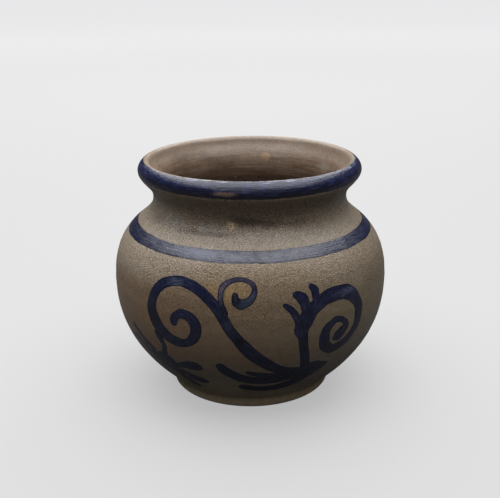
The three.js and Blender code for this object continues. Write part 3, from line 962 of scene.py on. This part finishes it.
def salt_glazed_stoneware():
    """Buff to red-brown clay under a clear salt glaze, pale and then brown inside the mouth and
    darker with painted shade deeper in, with more light and shade painted on in places.
    """
    material, graph, shader = new_material("salt_glazed_stoneware")
    x, y, z = graph.separate()
    past_crest = graph.attribute("past_crest")
    outer = graph.spread(past_crest, *OUTSIDE_ENDS)
    clouds = graph.noise(34 * MM, detail=4, roughness=0.55, distortion=0.4)
    drift = graph.swing(clouds, 30 * MM)
    level = graph.plus(z, drift)
    depth = graph.plus(past_crest, graph.times(drift, 0.14))
    round_place = graph.combine(graph.times(x, 0.1), graph.times(y, 0.1), z)
    streaks = graph.noise(1.8 * MM, detail=3, roughness=0.6, at=round_place)

    collar = graph.times(graph.spread(z, *COLLAR_STARTS), graph.spread(z, *COLLAR_ENDS))
    # Painted shade on the neck under the overhanging lip, stronger towards the sides
    under_lip_shade = graph.times(collar, graph.ease(graph.absolute(x), *UNDER_LIP_SHADE_ASIDE, 0.3, 0.9))
    base = graph.tinted(clay_tones(graph, x, z, level, clouds), under_lip_shade, UNDER_LIP_SHADE_TINT)
    # Painted highlight: a pale line of clay just under the rim's slip, where it catches the light
    line = graph.times(
        graph.spread(z, *LIT_LINE_STARTS), graph.spread(z, *LIT_LINE_ENDS), outer,
        graph.spread(streaks, 0.35, 0.6, 0.2, 0.7),
    )
    base = graph.layered(
        base, (line, LIT_LINE_PALE),
        (graph.spread(past_crest, *LINING_STARTS), lining_tones(graph, depth, streaks)),
    )
    for side, blotches in BLOTCHES.items():
        for degrees, height, reach, colour, strength, grain in blotches:
            spot = patch(graph, side(degrees, height * MM), reach, grain)
            base = graph.mix(graph.times(spot, strength), base, colour)
    # Paler towards the foot: partly the foot's own paler clay, partly painted light, with a painted
    # highlight on the foot's flared edge
    foot = graph.ease(level, *FOOT_TONE_ENDS, 0, 0.45)
    edge = graph.ease(z, *FOOT_LIT_EDGE_ENDS, 0, 0.95)
    base = graph.mix(graph.times(graph.most(foot, edge), outer), base, FOOT_PALE_AND_LIT)

    peel = orange_peel(graph)
    coarse = graph.times(pebbling(graph), graph.spread(outer, 0, 1, 0.3, 1))
    mottle = graph.noise(3.2 * MM, detail=3, roughness=0.6)
    base = graph.tinted(base, graph.spread(mottle, 0.4, 0.68, 0, 0.4), MOTTLE_TINT)
    # Painted shade in the hollows between the glaze's pebbles
    pit_shade = graph.spread(peel, 0.54, 0.36, 0, 0.8)
    base = graph.tinted(base, graph.times(pit_shade, coarse), PIT_SHADE_TINT)
    # Painted glints: paler tops of the pebbles, where the glaze would catch the light
    crest_glints = graph.spread(peel, 0.64, 0.84, 0, 0.34)
    base = graph.mix(graph.times(crest_glints, coarse), base, GLINT_WHITE)
    for size, reach, colour in SPECKS:
        specks = graph.add("ShaderNodeTexVoronoi", {"Vector": graph.place, "Scale": 1 / size})
        base = graph.mix(graph.spread(specks, 0.5 * reach, reach, 0.8, 0), base, colour)
    combing = graph.times(streaks, graph.most(collar, graph.spread(depth, *COMBING_RISES)))
    relief = graph.plus(graph.times(peel, coarse), combing)
    glazed(graph, shader, base, 7 * MM, CLAY_GLOSS, relief, CLAY_RELIEF)
    return material


def round_the_pot(graph, stretch):
    """A place in a painted ring, squeezed round the pot and true across the ring."""
    x, y, _ = graph.separate()
    return graph.combine(graph.times(x, stretch), graph.times(y, stretch), graph.attribute("across"))


def along_the_brush(graph, stretch):
    """A place in a brush stroke, squeezed along the stroke and true across it."""
    return graph.combine(graph.times(graph.attribute("along"), stretch), graph.attribute("across"))


def cobalt_slip(name, drawn, aged, pale_colour=COBALT_PALE, pale_share=0.8, deep_share=0.7,
                hair_depth=0.35, gloss=SLIP_GLOSS):
    """Cobalt under the glaze: streaked along the brush, darker where it pooled at the edges."""
    material, graph, shader = new_material("cobalt_slip_" + name)
    streaks = graph.noise(0.7 * MM, detail=3, roughness=0.6, at=drawn(graph, 0.09))
    beads = graph.noise(2.2 * MM, at=drawn(graph, 0.5))
    clouds = graph.noise(7 * MM, detail=3)
    pale = graph.times(
        graph.spread(streaks, 0.44, 0.66), graph.spread(clouds, 0.38, 0.62, 0.1, 1), pale_share,
    )
    pooled = graph.ease(graph.attribute("inset"), *POOLED_EDGE, 1, 0)
    pooled = graph.times(pooled, graph.spread(beads, 0.4, 0.6, 0.35, 1))
    dapple = graph.spread(graph.noise(2.4 * MM), 0.56, 0.68, 0, deep_share)
    deep = graph.most(pooled, dapple, graph.spread(clouds, 0.55, 0.75, 0, deep_share))
    base = graph.layered(COBALT, (pale, pale_colour), (deep, COBALT_DEEP))
    base = aged(graph, streaks, pooled, base)
    peel = graph.times(orange_peel(graph), pebbling(graph))
    relief = graph.plus(peel, graph.times(streaks, hair_depth))
    glazed(graph, shader, base, 4 * MM, gloss, relief, SLIP_RELIEF)
    return material


# How each mark has worn, and where light and shade are painted on it. All four are given the slip's
# streaks, pooled edge and colour so far.

def band_front_sheen(graph, streaks, pooled, base):
    """The shoulder line's front: greyer with a painted sheen, with a painted highlight left of the
    middle and a few dark blotches.
    """
    x, y, _ = graph.separate()
    clouds = graph.noise(6 * MM, detail=4, roughness=0.6)
    # Painted sheen across the front of the shoulder line
    sheen_veil = graph.times(
        graph.spread(graph.absolute(x), *BAND_SHEEN_ASIDE), graph.spread(y, 0, -20 * MM),
        graph.ease(clouds, 0.66, 0.42, 0.3, 1), graph.spread(streaks, 0.35, 0.62, 0.2, 0.75),
    )
    # A painted highlight left of the middle of the line
    front_left_patch = patch(graph, on_wall(-22, 94.5 * MM), (22, 14, 3), 2)
    return graph.layered(
        base, (sheen_veil, BAND_SHEEN_SLATE), (graph.times(front_left_patch, 0.5), COBALT_SLATE_AND_SHEEN),
        (graph.times(pooled, 0.5), COBALT_DEEP),
    )


def worn_rim_with_painted_light(graph, streaks, pooled, base):
    """The lip's slip: wiped thin in places, darkened with painted shade low down where the lip turns
    under, rubbed through to the clay at the front, with pale scuffs at the crest that are partly wear
    and partly painted glints."""
    z = graph.separate()[2]
    wiped = graph.times(
        graph.spread(streaks, 0.54, 0.66), graph.spread(graph.noise(5 * MM), 0.4, 0.6), 0.3,
    )
    # Painted shade on the lower part of the lip
    low = graph.times(graph.spread(z, *RIM_SHADE_ENDS), graph.spread(streaks, 0.6, 0.4, 0.2, 0.65))
    front_left_patch = patch(graph, on_wall(-11.5, 124.5 * MM), (8, 6, 1.5), 1.6, 0.6, 1.1)
    # Pale scuffs at the crest, partly wear and partly painted glints
    scuffs_and_glints = graph.times(graph.spread(streaks, 0.52, 0.62), graph.spread(z, *SCUFF_GLINTS_START), 0.55)
    return graph.layered(
        base, (wiped, COBALT_SLATE_AND_SHEEN), (low, RIM_SHADE_BLACK), (graph.times(front_left_patch, 0.85), RUBBED_CLAY),
        (scuffs_and_glints, SCUFF_AND_GLINT_WHITE),
    )


def uneven_load_and_painted_light(graph, streaks, pooled, base):
    """Strokes laid by a brush that held more slip in some places than in others, with painted
    highlights on the tops of the scroll and the volute and painted shade on their outer sides.
    """
    for degrees, height, reach, colour, strength in LOADS_AND_PAINTED_LIGHT:
        spot = patch(graph, on_wall(degrees, height * MM), reach, LOAD_GRAIN)
        share = graph.times(spot, strength)
        if colour is COBALT_SLATE_AND_SHEEN:
            share = graph.times(share, graph.spread(streaks, 0.4, 0.6, 0.3, 1))
        base = graph.mix(share, base, colour)
    return base


def dry_curl(graph, streaks, pooled, base):
    """The small curl from its foot to its eye: a dry violet-grey limb, a navy arch, a slate hook
    and a black, mottled bead, all with a dark outline."""
    share = graph.attribute("share")
    flecks = graph.spread(graph.noise(1.1 * MM), 0.5, 0.62)
    mottles = graph.spread(graph.noise(0.9 * MM), 0.5, 0.64, 0, 0.75)
    outline = graph.spread(graph.attribute("inset"), *CURL_OUTLINE, 0.9, 0)
    return graph.layered(
        COBALT,
        (graph.spread(share, 0.1, 0.2), VIOLET_GREY),
        (graph.spread(share, 0.28, 0.4), VIOLET_NAVY),
        (graph.spread(share, 0.66, 0.74), CURL_SLATE),
        (graph.spread(share, 0.84, 0.9), CURL_BLACK),
        (graph.times(flecks, graph.spread(share, 0.8, 0.9, 0.3, 0.6)), COBALT_PALE),
        (graph.spread(streaks, 0.42, 0.6, 0, 0.55), COBALT),
        (graph.times(mottles, graph.spread(share, 0.6, 0.7, 1, 0.2)), POOL_AND_SHADE_BLACK),
        (graph.most(outline, pooled), POOL_AND_SHADE_BLACK),
    )


clay = salt_glazed_stoneware()
cobalt_band = cobalt_slip("band", round_the_pot, band_front_sheen, pale_share=0.5, hair_depth=1.2)
cobalt_rim = cobalt_slip(
    "rim", round_the_pot, worn_rim_with_painted_light, COBALT_BRIGHT, deep_share=0.8, hair_depth=1.2, gloss=RIM_GLOSS,
)
cobalt_stroke = cobalt_slip("stroke", along_the_brush, uneven_load_and_painted_light)
cobalt_curl = cobalt_slip("curl", along_the_brush, dry_curl, pale_share=0.9, deep_share=0.2)


# The pieces

def dress(piece, node):
    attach(piece, "root")
    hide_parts(node)


def lay_slip(tree, node, sizes):
    """Grows a mark of slip on the wall and puts it in the place of its solid."""
    mark = grown(tree, node + "_slip", {
        "Wall": wall, "Section points": SECTION_POINTS, "Sink": SLIP_SINK,
        "Thickness": SLIP_THICKNESS, **sizes,
    })
    mark.data.set_sharp_from_angle(angle=SHARP_EDGE)
    dress(mark, node)


section_path = poly_curve("wall_section", [(radius, 0, height) for radius, height in section])
wall = grown(turned_wall_tree(), "thrown_wall", {
    "Section": section_path, "Columns": BODY_COLUMNS, "Wobble": 0.7 * MM, "Wobble size": 55 * MM,
    "Throwing ring depth": 0.22 * MM, "Throwing ring pitch": 5 * MM, "Lump height": 0.07 * MM,
    "Lump size": 3.2 * MM, "Flat foot": 12 * MM, "Crest": crest_run, "Material": clay,
})
dress(wall, "clay_body")

shoulder_line_top = run_at_height(SHOULDER_LINE_HIGH)
RINGS = {
    "shoulder_band": {
        "Lower edge": run_at_height(SHOULDER_LINE_LOW), "Upper edge in front": shoulder_line_top,
        "Upper edge behind": shoulder_line_top, "Edge wander": 1.1 * MM,
        "Section points": SHOULDER_LINE_POINTS, "Material": cobalt_band,
    },
    "rim_band": {
        "Lower edge": run_at_height(RIM_PAINT_LOW), "Upper edge in front": crest_run + RIM_PAINT_OVER,
        "Upper edge behind": run_on_lip(RIM_PAINT_BACK), "Upper edge lean": RIM_PAINT_LEAN,
        "Edge wander": 0.5 * MM, "Material": cobalt_rim,
    },
}
ring_tree = painted_ring_tree()
for node, own_sizes in RINGS.items():
    lay_slip(ring_tree, node, {
        **own_sizes, "Section": section_path, "Columns": RING_COLUMNS,
        "Wander size": 24 * MM, "Edge fray": 0.8 * MM, "Fray size": 2.4 * MM,
    })
bpy.data.objects.remove(section_path)

stroke_tree = brush_stroke_tree()
for panel, turn in PANELS.items():
    turning = Matrix.Rotation(turn, 3, "Z")
    for order, (stroke, points) in enumerate(STROKES.items()):
        path = poly_curve(
            stroke + "_path",
            [turning @ on_wall(degrees, share / 100 * ORNAMENT_TOP) for degrees, share, _ in points],
            [width / 100 * BRUSH_WIDTH / 2 for _, _, width in points],
        )
        lay_slip(stroke_tree, f"{panel}_{stroke}", {
            "Path": path, "Row step": ROW_STEP, "Edge wander": 0.5 * MM, "Wander size": 9 * MM,
            "Edge fray": 0.35 * MM, "Fray size": 1.4 * MM, "Layer lift": order * LAYER_STEP,
            "Material": cobalt_curl if stroke == "small_curl" else cobalt_stroke,
        })
        bpy.data.objects.remove(path)


# The stage: a pale floor that fades into the background, a large soft lamp overhead, a weak card
# in front and a dim surrounding. The background that the camera sees is pale and lights nothing.

FLOOR_REACH = 30.0
FLOOR_COLOUR = (0.06, 0.06, 0.06, 1)
FLOOR_SHOWN = (0.19, 0.19, 0.19, 1)
FLOOR_GLOW = (0.44, 0.44, 0.445, 1)
FLOOR_FADE = (0.3, 2.4)
SKY_LIGHT = (0.032, 0.032, 0.036, 1)
SKY_SHOWN = (0.8, 0.8, 0.81, 1)
MIRRORED_SHARE = 0.03

# Each lamp's width and depth, place, tilt towards the pot, and radiance
LAMPS = {
    "overhead_softbox": ((1.6, 1.9), (-0.02, 0.36, 0.9), 0.0, 3.5),
    "front_card": ((1.2, 0.5), (0, -1.2, 0.75), math.radians(60), 0.6),
}

# The camera, where the photograph was taken from
CAMERA_DISTANCE = 0.4633
CAMERA_HEIGHT = 0.2337
CAMERA_SIDE = -0.00009
CAMERA_DOWN = math.radians(18.782)
CAMERA_ROLL = math.radians(-0.4166)
FOCAL_PIXELS = 860
PHOTO_WIDTH = 500
SENSOR_WIDTH = 36


def seen_rays(graph):
    """How much of the background a ray shows: all of it to the camera and through anything clear,
    and a dim image in a glaze."""
    path = graph.add("ShaderNodeLightPath").node.outputs
    direct = graph.most(path["Is Camera Ray"], path["Is Transmission Ray"])
    return graph.most(direct, graph.times(path["Is Glossy Ray"], MIRRORED_SHARE))


def pale_floor():
    """Dull grey to the scene's light, and pale to the camera, with the pot's shadow on it."""
    material, graph, shader = new_material("pale_floor")
    nodes = material.node_tree.nodes
    nodes.remove(shader)
    away = graph.vector("LENGTH", graph.place)
    glow = graph.mix(graph.ease(away, *FLOOR_FADE), FLOOR_GLOW, SKY_SHOWN)
    lit = graph.add("ShaderNodeBsdfDiffuse", {"Color": FLOOR_COLOUR})
    shown = graph.add("ShaderNodeAddShader", {
        0: graph.add("ShaderNodeBsdfDiffuse", {"Color": FLOOR_SHOWN}),
        1: graph.add("ShaderNodeEmission", {"Color": glow}),
    })
    surface = graph.add("ShaderNodeMixShader", {0: seen_rays(graph), 1: lit, 2: shown})
    graph.link(surface, nodes["Material Output"].inputs["Surface"])
    return material


corners = [(x * FLOOR_REACH, y * FLOOR_REACH, 0) for x, y in ((-1, -1), (1, -1), (1, 1), (-1, 1))]
floor_mesh = bpy.data.meshes.new("floor")
floor_mesh.from_pydata(corners, [], [(0, 1, 2, 3)])
floor_mesh.materials.append(pale_floor())
placed("floor", floor_mesh)

for lamp_name, ((lamp_width, lamp_depth), lamp_place, lamp_tilt, radiance) in LAMPS.items():
    lamp_data = bpy.data.lights.new(lamp_name, "AREA")
    lamp_data.shape = "RECTANGLE"
    lamp_data.size = lamp_width
    lamp_data.size_y = lamp_depth
    lamp_data.energy = radiance * math.pi * lamp_width * lamp_depth
    lamp = placed(lamp_name, lamp_data)
    lamp.location = lamp_place
    lamp.rotation_euler = (lamp_tilt, 0, 0)

world = bpy.data.worlds.new("studio")
world.use_nodes = True
world_graph = Graph(world.node_tree)
sky = world_graph.mix(seen_rays(world_graph), SKY_LIGHT, SKY_SHOWN)
world_graph.link(sky, world.node_tree.nodes["Background"].inputs["Color"])

camera_data = bpy.data.cameras.new("camera")
camera_data.sensor_width = SENSOR_WIDTH
camera_data.lens = FOCAL_PIXELS / PHOTO_WIDTH * SENSOR_WIDTH
camera = placed("camera", camera_data)
stand = Matrix.Translation((CAMERA_SIDE, -CAMERA_DISTANCE, CAMERA_HEIGHT))
tilt = Matrix.Rotation(math.pi / 2 - CAMERA_DOWN, 4, "X")
camera.matrix_world = stand @ tilt @ Matrix.Rotation(CAMERA_ROLL, 4, "Z")

stage = bpy.context.scene
stage.world = world
stage.view_settings.view_transform = "Standard"
stage.camera = camera
